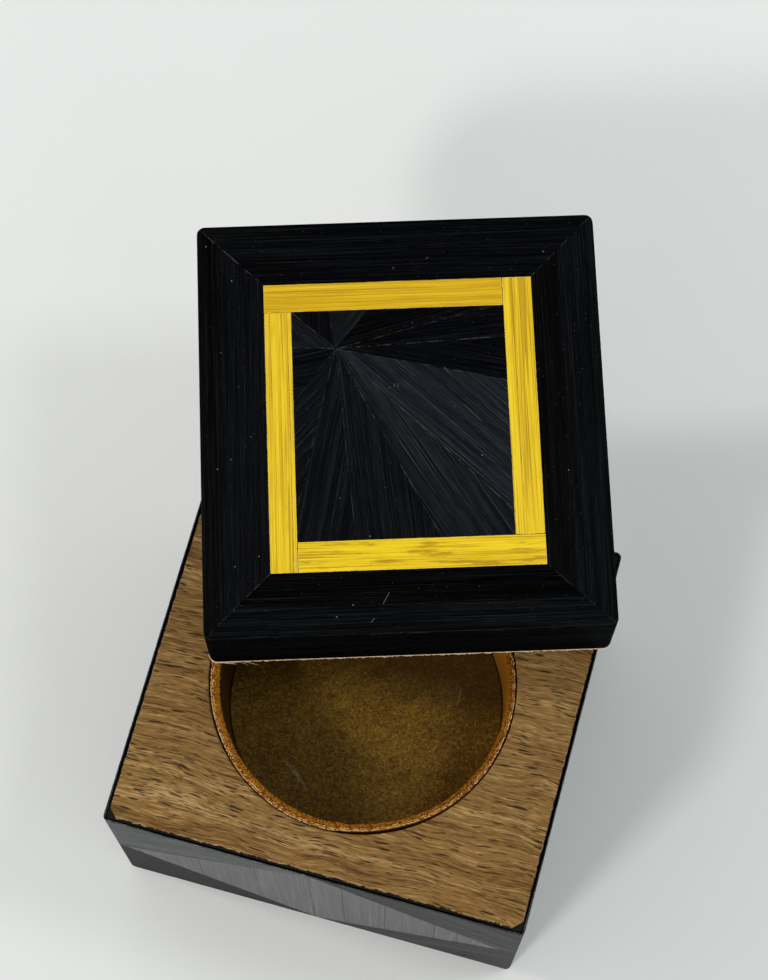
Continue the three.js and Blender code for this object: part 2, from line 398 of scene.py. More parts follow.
def straw_piece(node, body, look, outline, grain, place, seed, seams=None, ridge=0.004, tone=0.5,
                stain=0.0, glint=0.3, depth=STRAW_DEPTH, gap=SEAM, slot="black_straw"):
    """A piece of marquetry in place of a CAD node: straws side by side at one grain angle, cut to a
    convex outline. seams are where its seams are across the grain; without them they are spread evenly."""
    rng = np.random.default_rng(seed)
    straws = Straws(place, grain, rng, tone, stain, glint, depth)
    for x, y in shrunk(outline, JOINT / 2):
        straws.outline.append((x * straws.cos + y * straws.sin, -x * straws.sin + y * straws.cos))
    low, high = min(v for _, v in straws.outline), max(v for _, v in straws.outline)
    if seams is None:
        count = max(1, round((high - low) / STRAW_WIDTH))
        steps = np.cumsum(rng.uniform(0.85, 1.15, count))
        seams = low + (high - low) * (steps / steps[-1])[:-1]
    cuts = [low - gap / 2, *sorted(s for s in seams if low + 0.3 < s < high - 0.3), high + gap / 2]
    for v0, v1 in zip(cuts, cuts[1:]):
        lift = rng.uniform(-0.012, 0.004)
        straws.straw(v0 + gap / 2, v1 - gap / 2, ridge, lift)
    values = {key: np.concatenate(value) for key, value in straws.values.items()}
    piece = make_mesh(node + "_skin", np.concatenate(straws.points), straws.faces, values)
    finish_piece(piece, body, look, slot, node)


# ---- materials ----
class Look:
    """A material's node tree, with short ways to add the nodes that the looks here use."""

    def __init__(self, name):
        self.material = bpy.data.materials.new(name)
        self.material.use_nodes = True
        self.tree = self.material.node_tree
        self.surface = self.tree.nodes["Principled BSDF"]

    def join(self, value, socket):
        if isinstance(value, bpy.types.NodeSocket):
            self.tree.links.new(value, socket)
        else:
            socket.default_value = value

    def add(self, kind, inputs=None, **settings):
        made = self.tree.nodes.new("ShaderNode" + kind)
        for key, value in settings.items():
            setattr(made, key, value)
        for key, value in (inputs or {}).items():
            self.join(value, made.inputs[key])
        return made

    def value(self, name, output="Fac"):
        """A number, or with output="Vector" a vector, that the mesh holds for each point."""
        return self.add("Attribute", attribute_name=name).outputs[output]

    def maths(self, operation, a, b=0.0):
        return self.add("Math", {0: a, 1: b}, operation=operation).outputs[0]

    def times(self, a, b):
        return self.maths("MULTIPLY", a, b)

    def total(self, first, *others):
        """first plus all the others. Each of these is a value and its weight."""
        for value, weight in others:
            first = self.maths("ADD", first, self.times(value, weight))
        return first

    def vectors(self, operation, a, b=(0, 0, 0), output=0):
        return self.add("VectorMath", {0: a, 1: b}, operation=operation).outputs[output]

    def stretch(self, vector, x, y, z):
        return self.vectors("MULTIPLY", vector, (x, y, z))

    def scaled(self, vector, scale):
        """The inputs for a texture with one scale, or with one for each axis."""
        if isinstance(scale, tuple):
            vector, scale = self.stretch(vector, *scale), 1.0
        return {"Vector": vector, "Scale": scale}

    def noise(self, vector, scale, detail=2.0, roughness=0.5):
        inputs = {**self.scaled(vector, scale), "Detail": detail, "Roughness": roughness}
        return self.add("TexNoise", inputs).outputs[0]

    def cells(self, vector, scale):
        """A number of its own for each cell, and the distance from the cell's middle."""
        made = self.add("TexVoronoi", self.scaled(vector, scale))
        return made.outputs["Color"], made.outputs["Distance"]

    def between(self, value, low, high, to_low=0.0, to_high=1.0):
        """Goes smoothly from to_low at low to to_high at high."""
        inputs = {"Value": value, "From Min": low, "From Max": high, "To Min": to_low, "To Max": to_high}
        return self.add("MapRange", inputs, interpolation_type="SMOOTHSTEP").outputs[0]

    def mix(self, factor, a, b):
        inputs = {0: factor, 6: opaque(a), 7: opaque(b)}
        return self.add("Mix", inputs, data_type="RGBA").outputs[2]

    def over(self, colour, tint, value, low, high, amount=1.0):
        """Lays up to an amount of tint over a colour as a value goes from low to high."""
        return self.mix(self.between(value, low, high, 0, amount), colour, tint)

    def bump(self, height, distance):
        return self.add("Bump", {"Height": height, "Distance": distance * MM}).outputs[0]

    def set(self, **inputs):
        for key, value in inputs.items():
            self.join(value, self.surface.inputs[key.replace("_", " ")])
        return self.material

    def in_mm(self):
        return self.stretch(self.add("TexCoord").outputs["Object"], 1 / MM, 1 / MM, 1 / MM)


def opaque(colour):
    return (*colour, 1) if isinstance(colour, tuple) else colour


def straw_grain(look):
    """Where a point is on its straw, the straw's streaks, and the fine streaks and hairlines alone."""
    grain = look.value("grain", "Vector")
    fine = look.noise(grain, (0.05, 8.0, 1), detail=3, roughness=0.7)
    broad = look.noise(grain, (0.02, 1.3, 1.7))
    hair = look.noise(grain, (0.035, 11.0, 2.3), detail=1, roughness=0.6)
    return grain, look.total(look.times(fine, 0.9), (broad, 0.3)), fine, hair


# Specks of dust: how close together, their radius, the share of places without one, and strength.
DUST = ((0.4, 0.05, 0.4, 0.55), (1.1, 0.09, 0.35, 0.16))


def seams_and_dust(look, colour, grain, seam, cut, dust):
    """Adds the joints between straws, the piece's own outline and specks of dust."""
    broken = look.between(look.noise(grain, (0.3, 0.4, 3.1), detail=4), 0.48, 0.66)
    side = look.between(look.value("edge"), 0.2, 0.9)
    colour = look.mix(look.times(side, broken), colour, seam)
    spot = look.value("spot", "Vector")
    rim = look.times(look.between(look.value("rim"), 0.09, 0.02), look.value("glint"))
    patchy = look.between(look.noise(spot, 0.45, detail=6, roughness=0.75), 0.44, 0.62)
    colour = look.mix(look.times(rim, patchy), colour, cut)
    for scale, radius, bare, amount in DUST:
        number, distance = look.cells(spot, scale)
        chosen = look.between(number, bare, bare + 0.2)
        dot = look.between(distance, radius, radius * 0.4, 0, dust * amount)
        colour = look.mix(look.times(dot, chosen), colour, (0.35, 0.36, 0.36))
    return colour


def scratched(look, colour, place, scratches, amount, tint):
    """Adds thin lines in the XY plane: where each starts and ends, and its width."""
    end_reach = 0.3       # under 1, so that a line fades out beyond its ends
    for (x0, y0), (x1, y1), width in scratches:
        length = math.hypot(x1 - x0, y1 - y0)
        cos, sin = (x1 - x0) / length, (y1 - y0) / length
        moved = look.vectors("ADD", place, (-x0, -y0, 0))
        u = look.vectors("DOT_PRODUCT", moved, (cos, sin, 0), "Value")
        v = look.vectors("DOT_PRODUCT", moved, (-sin, cos, 0), "Value")
        past_end = look.maths("MAXIMUM", look.times(u, -1.0), look.maths("SUBTRACT", u, length))
        off = look.maths("MAXIMUM", look.maths("ABSOLUTE", v), look.times(past_end, end_reach))
        mask = look.between(off, width, width * 0.3)
        colour = look.mix(look.times(mask, amount), colour, tint)
    return colour


def black_straw_look(name, shine, relief, anisotropic, roughness, strength=(1, 1, 1), scratches=()):
    """Straw dyed black. Its tone, 0 to 1, is how strongly its streaks show and how much painted sheen
    it has, the reflection of the lamps along its grain. strength scales all its colours; on the box's
    sides it lifts them into a painted reflection of the bright floor and sky.
    """

    def dye_and_painted_sheen(*colour):
        return tuple(part * gain for part, gain in zip(colour, strength))

    look = Look(name)
    grain, shade, fine, hair = straw_grain(look)
    ragged = look.noise(grain, (0.5, 7.0, 4.1), detail=3, roughness=0.7)
    streak = look.between(look.total(shade, (look.maths("SUBTRACT", ragged, 0.5), 0.35)), 0.50, 0.80)
    quiet = look.mix(streak, dye_and_painted_sheen(0.0003, 0.0003, 0.0004), dye_and_painted_sheen(0.0032, 0.0034, 0.0038))
    # The lighter, bluish colour that the tone brings in is painted sheen: the lamps' reflection along the
    # grain.
    bright = look.mix(streak, dye_and_painted_sheen(0.0060, 0.0075, 0.0094), dye_and_painted_sheen(0.0250, 0.0290, 0.0345))
    tone = look.value("tone")
    colour = look.mix(tone, quiet, bright)
    # Fine pale lines along the grain that grow stronger with the tone: painted highlights.
    painted_highlight_lines = look.between(look.total(hair, (ragged, 0.25)), 0.76, 0.84)
    painted_highlight_lines = look.times(painted_highlight_lines, look.between(tone, 0.0, 1.0, 0.15, 1.0))
    colour = look.mix(painted_highlight_lines, colour, dye_and_painted_sheen(0.050, 0.053, 0.057))
    colour = look.over(colour, (0.0003, 0.0003, 0.0004), hair, 0.38, 0.30)
    colour = seams_and_dust(look, colour, grain, (0.010, 0.0105, 0.012), (0.085, 0.085, 0.082), 0.8)
    colour = scratched(look, colour, look.value("spot", "Vector"), scratches, 0.7, (0.12, 0.12, 0.12))
    look.set(Base_Color=colour, Roughness=roughness, Anisotropic=anisotropic, IOR=shine)
    return look.set(Tangent=look.value("across", "Vector"),
                    Normal=look.bump(look.total(fine, (hair, 0.4)), relief))


def yellow_straw_look():
    look = Look("yellow straw")
    grain, shade, fine, hair = straw_grain(look)
    # The tone shifts the shade: partly the straw's own tone, partly painted sheen that makes a strip lighter
    # or darker by how its grain lies to the light.
    shade = look.total(shade, (look.maths("SUBTRACT", look.value("tone"), 0.5), 0.45))
    colour = look.mix(look.between(shade, 0.44, 0.78), (0.54, 0.295, 0.004), (0.80, 0.56, 0.014))
    colour = look.over(colour, (0.34, 0.165, 0.004), hair, 0.58, 0.68, 0.8)
    colour = look.over(colour, (0.90, 0.68, 0.05), hair, 0.36, 0.28, 0.6)
    lines = look.noise(grain, (0.03, 2.6, 5.3), detail=1)
    colour = look.over(colour, (0.28, 0.125, 0.003), lines, 0.63, 0.67, 0.5)
    blotch = look.noise(grain, (0.16, 1.3, 1.3), detail=4, roughness=0.65)
    blotch = look.times(look.between(blotch, 0.5, 0.66), look.value("stain"))
    colour = look.mix(blotch, colour, (0.36, 0.19, 0.006))
    colour = seams_and_dust(look, colour, grain, (0.16, 0.07, 0.004), (0.9, 0.68, 0.16), 0.0)
    look.set(Base_Color=colour, Roughness=0.42, Anisotropic=0.6, IOR=1.35)
    return look.set(Tangent=look.value("across", "Vector"), Normal=look.bump(fine, 0.006))


# Scratches and specks on the lid: from, to and width, in the lid's own frame.
LID_SCRATCHES = [
    ((-2.85, -24.5), (-3.65, -25.9), 0.06), ((-5.02, -28.06), (-5.37, -28.47), 0.06),
    ((8.7, 2.1), (10.8, -0.2), 0.04), ((6.1, 7.8), (6.7, 7.05), 0.04),
    ((-0.96, 5.45), (-0.98, 5.3), 0.07), ((-0.47, 5.5), (-0.49, 5.25), 0.06),
    ((-1.65, 5.1), (-1.7, 5.0), 0.06), ((-0.5, 22.9), (-0.45, 22.98), 0.06),
    ((4.3, 24.25), (4.35, 24.3), 0.05), ((-23.95, -4.7), (-23.9, -4.65), 0.06),
]
black_straw = black_straw_look("black straw", shine=1.08, relief=0.012, anisotropic=0.95,
                               roughness=0.45, scratches=LID_SCRATCHES)
edge_straw = black_straw_look("black straw edges", shine=1.04, relief=0.02, anisotropic=0.9, roughness=0.45)
# On the box's sides the colours are lifted by strength: a painted reflection of the bright floor and sky on
# the steep straw.
side_straw = black_straw_look("black straw sides", shine=1.18, relief=0.04, anisotropic=0.85,
                              roughness=0.4, strength=(4.6, 4.1, 3.4))
yellow_straw = yellow_straw_look()


def oak_look():
    look = Look("oak")
    place = look.in_mm()
    sway = look.times(look.noise(place, (0.05, 0.06, 0.05)), 4.0)
    sway = look.total(sway, (look.noise(place, (0.16, 0.22, 0.1)), 0.5))
    bent = look.vectors("ADD", place, look.add("CombineXYZ", {"Y": sway}).outputs[0])
    bands = look.noise(bent, (0.02, 0.32, 0.2))
    streaks = look.noise(bent, (0.14, 3.4, 1.0), detail=4, roughness=0.65)
    fibre = look.noise(bent, (0.6, 8.0, 1.5), detail=4, roughness=0.7)
    shade = look.total(look.times(bands, 0.34), (streaks, 0.62), (fibre, 0.54))
    colour = look.mix(look.between(shade, 0.63, 0.76), (0.094, 0.041, 0.009), (0.217, 0.115, 0.032))
    colour = look.over(colour, (0.40, 0.248, 0.095), shade, 0.77, 0.90)
    colour = look.over(colour, (0.040, 0.015, 0.003), shade, 0.65, 0.54)
    rough_edge = look.times(look.maths("SUBTRACT", fibre, 0.5), 0.6)

    def pores(size, likely, width, depth):
        """Open pores along the grain, more of them in the pale bands."""
        number, distance = look.cells(bent, size)
        chosen = look.between(look.total(bands, (number, 0.5)), *likely)
        pore = look.between(look.maths("ADD", distance, rough_edge), *width, 0, depth)
        return look.times(pore, chosen)

    pit = look.maths("MAXIMUM", pores((0.24, 2.3, 0.8), (0.77, 0.81), (0.32, 0.18), 1),
                     pores((0.55, 4.6, 0.8), (0.77, 0.82), (0.34, 0.16), 0.8))
    colour = look.mix(look.times(pit, 0.92), colour, (0.016, 0.007, 0.0022))
    ragged = look.noise(place, (1.3, 1.3, 0.9), detail=4, roughness=0.6)
    reach = look.total(look.value("rim"), (ragged, -0.9))
    pale = look.between(look.noise(place, 0.9, detail=3), 0.46, 0.6)
    pale = look.times(pale, look.between(reach, 0.10, -0.04, 0, 0.6))
    colour = look.mix(pale, colour, (0.42, 0.27, 0.13))
    colour = look.over(colour, (0.003, 0.003, 0.003), reach, -0.10, -0.18)
    raw = look.times(look.value("raw"), look.between(fibre, 0.3, 0.5, 0.55, 1))
    colour = look.mix(raw, colour, (0.70, 0.50, 0.30))
    height = look.maths("SUBTRACT", look.times(shade, 0.6), pit)
    return look.set(Base_Color=colour, Roughness=0.7, IOR=1.24, Normal=look.bump(height, 0.08))


def filler_look():
    look = Look("corner filler")
    lumps = look.noise(look.in_mm(), 2.2, detail=3)
    colour = look.mix(lumps, (0.002, 0.002, 0.002), (0.009, 0.008, 0.008))
    return look.set(Base_Color=colour, Roughness=0.6, IOR=1.2, Normal=look.bump(lumps, 0.15))


def velvet_look():
    look = Look("velvet")
    place = look.in_mm()
    nap = look.noise(place, 5.5, detail=4, roughness=0.75)
    patches = look.noise(place, (0.3, 0.3, 0.08))
    colour = look.mix(look.between(nap, 0.35, 0.7), (0.17, 0.048, 0.002), (0.52, 0.20, 0.012))
    colour = look.over(colour, (0.26, 0.082, 0.004), patches, 0.5, 0.7, 0.6)
    x, _, z = look.add("SeparateXYZ", {0: place}).outputs
    # Darker low down in the well and towards its left: painted shade on the ribbon's wall and the pad, where
    # the light reaches least.
    wear_and_painted_shade = look.between(z, RIBBON_HIGH - 0.6, RIBBON_HIGH - 3.0)
    wear_and_painted_shade = look.times(wear_and_painted_shade, look.between(x, -14, 12, 0.97, 0.05))
    colour = look.mix(wear_and_painted_shade, colour, (0.018, 0.006, 0.0006))
    look.set(Sheen_Weight=0.08, Sheen_Roughness=0.4, Sheen_Tint=(1.0, 0.5, 0.1, 1))
    return look.set(Base_Color=colour, Roughness=0.9, IOR=1.15, Normal=look.bump(nap, 0.15))


def thread_look(name, dark, middle, pale, turns, roughness, shine):
    """Threads that go from dark over a middle colour to pale with their own shade."""
    look = Look(name)
    shade = look.value("shade")
    colour = look.mix(look.between(shade, 0.0, turns), dark, middle)
    colour = look.over(colour, pale, shade, 0.55, 1.0)
    return look.set(Base_Color=colour, Roughness=roughness, IOR=shine)


# Scratches on the rosin: from, to and width, in the row frame.
ROSIN_SCRATCHES = [((-9.3, -10.9), (-7.2, -12.2), 0.22), ((-7.5, -12.0), (-5.9, -13.4), 0.5),
                   ((12.5, 5.9), (12.7, 3.7), 0.14), ((-2.6, 4.9), (-1.5, 4.7), 0.14)]


def rosin_look():
    look = Look("rosin")
    place = look.in_mm()
    # Lighter towards a spot near the middle of the cake's top: a painted pool of light.
    middle = look.vectors("SUBTRACT", place, (*(CAKE_CENTRE + (2.5, -4.0)), 0))
    away = look.vectors("LENGTH", look.stretch(middle, 1, 1, 0), output="Value")
    centre = look.between(away, 17.0, 2.0)
    clouds = look.noise(place, (0.10, 0.10, 0.3), detail=4, roughness=0.6)
    grains = look.noise(place, 1.7, detail=4, roughness=0.8)
    sparks = look.noise(place, 3.4, detail=3, roughness=0.7)
    askew = look.add("VectorRotate", {0: place, "Angle": -0.7}, rotation_type="Z_AXIS").outputs[0]
    wipe = look.noise(askew, (0.2, 1.1, 1), detail=4)
    shade = look.total(look.times(clouds, 0.20), (grains, 0.62), (wipe, 0.20), (centre, 0.06))
    colour = look.mix(look.between(shade, 0.42, 0.72), (0.118, 0.051, 0.0024), (0.26, 0.145, 0.011))
    colour = look.over(colour, (0.38, 0.27, 0.045), sparks, 0.54, 0.70, 0.6)
    colour = look.over(colour, (0.045, 0.019, 0.002), sparks, 0.46, 0.34, 0.8)
    mottles = look.noise(place, 0.5, detail=4, roughness=0.7)
    colour = look.over(colour, (0.060, 0.025, 0.002), mottles, 0.50, 0.68, 0.5)
    # Darker towards the back, under the lid: a painted shadow of the lid on the cake.
    back = look.add("SeparateXYZ", {0: place}).outputs["Y"]
    colour = look.over(colour, (0.036, 0.015, 0.001), back, 0.5, 7.0, 0.68)
    patchy = look.between(grains, 0.35, 0.60, 0.12, 0.5)
    colour = scratched(look, colour, place, ROSIN_SCRATCHES, patchy, (0.33, 0.27, 0.13))
    look.set(Base_Color=colour, Roughness=look.between(grains, 0.3, 0.7, 0.7, 0.5), IOR=1.28)
    return look.set(Normal=look.bump(look.total(grains, (wipe, 0.5)), 0.08))


oak = oak_look()
filler = filler_look()
velvet = velvet_look()
pile = thread_look("velvet pile", (0.06, 0.012, 0.001), (0.42, 0.125, 0.004), (0.88, 0.46, 0.045),
                   turns=0.6, roughness=0.7, shine=1.2)
selvedge = thread_look("ribbon selvedge", (0.10, 0.024, 0.001), (0.62, 0.30, 0.05), (1.0, 0.78, 0.44),
                       turns=0.5, roughness=0.5, shine=1.3)
rosin = rosin_look()


# ---- the box's straw sides ----
def side_marquetry(half, left_tip, right_tip):
    """The diamond and its four wedges, along the side and up, with the angle of their grain."""
    middle = BOX_TOP / 2

    def wedge(end, tip, edge, grain):
        return [(end, middle), (end, edge), (0, edge), (tip, middle)], grain

    return {
        "diamond": ([(left_tip, middle), (0, 0), (right_tip, middle), (0, BOX_TOP)], 90),
        "wedge_top_left": wedge(-half, left_tip, BOX_TOP, 33),
        "wedge_top_right": wedge(half, right_tip, BOX_TOP, -34),
        "wedge_bottom_left": wedge(-half, left_tip, 0, -36),
        "wedge_bottom_right": wedge(half, right_tip, 0, 34),
    }


FRONT_DIAMOND_SEAMS = [26.5, 17.2, 0.5, -4.2, -10.4, -17.8, -21.2, -24.0, 8.6]
# How light each piece of the front is drawn, the others 0.3: partly its own tone, partly a painted reflection
# of the floor and sky.
SIDE_TONE_AND_SHEEN = {("front", "diamond"): 0.4, ("front", "wedge_top_left"): 0.95,
              ("front", "wedge_bottom_left"): 0.0, ("front", "wedge_top_right"): 0.35,
              ("front", "wedge_bottom_right"): 0.25}

for side_number, side in enumerate(SIDE_TURNS):
    place, half = jacket(side, BOX_HALF_X, BOX_HALF_Y, BOX_ARRIS, box_to_row)
    side_half = BOX_HALF_Y if side in ("right", "left") else BOX_HALF_X
    parts = side_marquetry(half, DIAMOND_INSET_LEFT - side_half, side_half - DIAMOND_INSET_RIGHT)
    for part_number, (part, (outline, grain)) in enumerate(parts.items()):
        seams = FRONT_DIAMOND_SEAMS if (side, part) == ("front", "diamond") else None
        seed = 100 + 10 * side_number + part_number
        tone = SIDE_TONE_AND_SHEEN.get((side, part), 0.3)
        straw_piece(f"{side}_straw_{part}", "box", side_straw, outline, grain, place, seed, seams,
                    tone=tone, depth=SIDE_DEPTH, gap=SIDE_SEAM)


# ---- the lid's straw ----
EDGE_HIGH = LID_THICKNESS - STRAW_SKIN - 0.05      # the edge straw ends just under the top straw
# The corners are in the order of the sides that start at them.
LID_CORNERS = rectangle(-LID_HALF_X, -LID_HALF_Y, LID_HALF_X, LID_HALF_Y)
FRAME_CORNERS = rectangle(OUTER_LEFT, OUTER_FRONT, OUTER_RIGHT, OUTER_BACK)
# Each border strip: its seams across the grain, its tone with painted sheen, and glint.
BORDERS = {"front": ([-25.9], 0.06, 0.2), "right": ([-22.9], 0.04, 0.3), "back": ([-25.9], 0.02, 0.7),
           "left": ([-25.2, -21.8], 0.06, 0.7)}
for number, side in enumerate(SIDE_TURNS):
    place, half = jacket(side, LID_HALF_X, LID_HALF_Y, LID_ARRIS, lid_to_row)
    outline = rectangle(-half, LID_RAW_LIP, half, EDGE_HIGH)
    straw_piece(f"lid_edge_straw_{side}", "lid", edge_straw, outline, 0, place, 200 + number,
                tone=0.0, glint=0.05)
    following = (number + 1) % 4
    outline = [LID_CORNERS[number], LID_CORNERS[following], FRAME_CORNERS[following],
               FRAME_CORNERS[number]]
    seams, tone, glint = BORDERS[side]
    straw_piece(f"lid_border_straw_{side}", "lid", black_straw, outline, SIDE_TURNS[side], lid_face,
                220 + number, seams, tone=tone, glint=glint)

# Each yellow strip: its outline, grain, seams across the grain, tone with painted sheen (lighter where the
# grain lies across the light) and brown stain.
YELLOW_STRIPS = {
    "back": (rectangle(OUTER_LEFT, INNER_BACK, INNER_RIGHT - BUTT, OUTER_BACK), 0, [], 0.30, 0.2),
    "right": (rectangle(INNER_RIGHT, INNER_FRONT + BUTT, OUTER_RIGHT, OUTER_BACK), 90,
              [-INNER_RIGHT - 1.4], 0.68, 0.2),
    "front": (rectangle(INNER_LEFT + BUTT, OUTER_FRONT, OUTER_RIGHT, INNER_FRONT), 0, [], 0.74, 0.8),
    "left": (rectangle(OUTER_LEFT, OUTER_FRONT, INNER_LEFT, INNER_BACK - BUTT), 90,
             [-INNER_LEFT + 0.55], 0.64, 0.25),
}
for number, (side, (outline, grain, seams, tone, stain)) in enumerate(YELLOW_STRIPS.items()):
    straw_piece(f"lid_yellow_strip_{side}", "lid", yellow_straw, outline, grain, lid_face, 240 + number,
                seams, ridge=0.003, tone=tone, stain=stain, glint=0.8, slot="yellow_straw")

# The sunburst's rays, anticlockwise from the right: where each starts on the field's rim, the corner
# of the field that it takes in, its grain, its tone with painted sheen (rays whose grain catches the
# lamps are drawn lighter), and glint.
RAYS = [
    ((INNER_RIGHT, 5.7), [], -12, 0.12, 0.3),
    ((INNER_RIGHT, 12.1), [(INNER_RIGHT, INNER_BACK)], 5, 0.12, 0.8),
    ((13.4, INNER_BACK), [], 14, 0.08, 0.2),
    ((-4.4, INNER_BACK), [], 50, 0.33, 0.2),
    ((-9.8, INNER_BACK), [], 90, 0.10, 0.5),
    ((INNER_LEFT, INNER_BACK), [], 137, 0.44, 1.0),
    ((INNER_LEFT, 11.4), [], 10, 0.14, 0.2),
    ((INNER_LEFT, 3.3), [], 45, 0.26, 0.4),
    ((INNER_LEFT, -12.6), [(INNER_LEFT, INNER_FRONT)], 78, 0.24, 0.15),
    ((-7.1, INNER_FRONT), [], 95, 0.18, 0.5),
    ((4.6, INNER_FRONT), [(INNER_RIGHT, INNER_FRONT)], -59, 0.60, 0.6),
    ((INNER_RIGHT, -13.3), [], -44, 0.78, 0.8),
]
for number, (start, corner, grain, tone, glint) in enumerate(RAYS):
    end = RAYS[(number + 1) % len(RAYS)][0]
    straw_piece(f"lid_sun_ray_{number + 1:02d}", "lid", black_straw, [SUN_CENTRE, start, *corner, end],
                grain, lid_face, 260 + number, tone=tone, glint=glint)


# ---- the oak box ----
def along_outline(corners, step):
    """Evenly spaced points round a closed outline that keep its corners."""
    points = []
    for (x0, y0), (x1, y1) in sides(corners):
        count = max(2, round(math.hypot(x1 - x0, y1 - y0) / step))
        for i in range(count):
            points.append((x0 + (x1 - x0) * i / count, y0 + (y1 - y0) * i / count))
    return np.array(points)


CHIPS = 46            # small chips out of the top's outer edge


def oak_block():
    """The block with its well as one closed skin: underside, sides, top, well wall and well floor."""
    rng = np.random.default_rng(41)
    x, y, cut = OAK_HALF_X, OAK_HALF_Y, OAK_CORNER_CUT
    corners = [(-x + cut, -y), (x - cut, -y), (x, -y + cut), (x, y - cut),
               (x - cut, y), (-x + cut, y), (-x, y - cut), (-x, -y + cut)]
    outer = along_outline(corners, 0.3)
    spread = outer - WELL_CENTRE
    angles = np.arctan2(spread[:, 1], spread[:, 0])
    mouth = WELL_CENTRE + WELL_RADIUS * np.stack([np.cos(angles), np.sin(angles)], axis=1)
    reach = np.linalg.norm(outer - mouth, axis=1)
    inwards = (mouth - outer) / reach[:, None]

    chips = np.zeros(len(outer))
    half_round = len(outer) / 2
    for _ in range(CHIPS):
        centre, half_width = rng.integers(len(outer)), rng.uniform(1, 5)
        away = np.abs((np.arange(len(outer)) - centre + half_round) % len(outer) - half_round)
        chips = np.maximum(chips, rng.uniform(0.05, 0.24) * np.clip(1 - (away / half_width) ** 2, 0, 1))

    edge_steps = [0, 0.07, 0.16, 0.3, 0.5, 0.8, 1.2]
    rim_steps = [0.8, 0.45, 0.22, 0.09, 0]
    middle_steps = np.linspace(0, 1, 18)[1:-1]
    distances = [np.full(len(outer), d) for d in edge_steps]
    for t in middle_steps:
        distances.append(edge_steps[-1] + (reach - edge_steps[-1] - rim_steps[0]) * t)
    distances += [reach - d for d in rim_steps]

    loops, rims = [], []

    def add(plan, heights, rim):
        loops.append(np.column_stack([plan, heights]))
        rims.append(np.broadcast_to(rim, len(plan)))

    flat = np.zeros(len(outer))
    add(outer + inwards * 2, flat, FAR)
    add(outer, flat, 0)
    add(outer, flat + BOX_TOP - 0.6, 0)
    # The black line round the top is half as wide at the sides and the back as at the front.
    narrowing = np.where(np.abs(outer[:, 1] + y) < 0.01, 1.0, 2.0)
    for distance in distances:
        plan = outer + inwards * distance[:, None]
        from_edge = np.minimum(OAK_HALF_X - np.abs(plan[:, 0]), OAK_HALF_Y - np.abs(plan[:, 1]))
        relief = np.array([noise.noise(Vector((px * 0.12, py * 2.6, 3.1))) for px, py in plan])
        wear_and_painted_shade = chips * np.clip(1 - distance / 0.45, 0, 1)
        from_rim = reach - distance
        eased = 0.16 * np.clip(1 - from_rim / 0.24, 0, 1) ** 2
        heights = BOX_TOP - 0.012 + relief * 0.016 - wear_and_painted_shade - eased
        add(plan, heights, from_edge * narrowing)
    for height in (BOX_TOP - 0.5, BOX_TOP - 2, WELL_FLOOR + 0.4, WELL_FLOOR):
        add(mouth, flat + height, FAR)
    for share in (0.6, 0.25):
        add(WELL_CENTRE + (mouth - WELL_CENTRE) * share, flat + WELL_FLOOR, FAR)
    points, faces = loft(loops)
    return make_mesh("oak_box", points, faces, {"rim": np.concatenate(rims)}, sharp=35)


finish_piece(oak_block(), "box", oak, "oak", "oak_box_block")

for corner in ("front_left", "front_right", "back_left", "back_right"):
    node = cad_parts[f"corner_filler_{corner}"]
    node.data.materials.clear()
    node.data.materials.append(filler)


# ---- the lid's board ----
def lid_board():
    """The board, with a raw and slightly frayed lip below the straw of its edges."""
    rng = np.random.default_rng(43)
    radius = LID_ARRIS
    corners = []
    for sign_x, sign_y, start in ((-1, -1, 180), (1, -1, 270), (1, 1, 0), (-1, 1, 90)):
        for i in range(7):
            angle = math.radians(start + 15 * i)
            corners.append((sign_x * (LID_HALF_X - radius) + radius * math.cos(angle),
                            sign_y * (LID_HALF_Y - radius) + radius * math.sin(angle)))
    outline = along_outline(corners, 0.25)
    nearest = np.stack([np.clip(outline[:, 0], radius - LID_HALF_X, LID_HALF_X - radius),
                        np.clip(outline[:, 1], radius - LID_HALF_Y, LID_HALF_Y - radius)], axis=1)
    normals = (outline - nearest) / radius
    count = len(outline)
    fray = rng.normal(0, 1, (2, count))
    loops = []

    def add(inset, height):
        plan = outline - normals * np.broadcast_to(inset, count)[:, None]
        x, y = plan.T
        loops.append(lid_to_row(x, y, np.broadcast_to(height, count)))

    lip_low = np.clip(0.10 + 0.05 * fray[0], 0.0, 0.3)
    lip_out = np.clip(-0.05 + 0.05 * fray[1], -0.14, 0.08)
    add(8, 0)
    add(0.6, 0)
    add(lip_low, 0.03)
    add(lip_out, 0.12)
    add(lip_out + 0.02, 0.26)
    add(0.1, LID_RAW_LIP - 0.02)
    add(0.5, LID_RAW_LIP)
    add(0.5, LID_THICKNESS - STRAW_SKIN - 0.1)
    points, faces = loft(loops)
    raw = np.repeat([0, 0.3, 1, 1, 1, 1, 0, 0], count)
    return make_mesh("lid_board", points, faces, {"rim": np.full(len(points), FAR), "raw": raw}, sharp=35)


finish_piece(lid_board(), "lid", oak, "oak", "lid_oak_board")


# ---- the velvet ribbon and the lid's splinters ----
def around(angles, radius, height, centre):
    x, y = centre[0] + radius * np.cos(angles), centre[1] + radius * np.sin(angles)
    return np.column_stack([x, y, np.broadcast_to(height, len(angles))])


def circle(radius, height, count, centre=WELL_CENTRE):
    return around(np.linspace(0, 2 * math.pi, count, endpoint=False), radius, height, centre)


RIBBON_RADIUS = 21.34        # to the outside of its backing
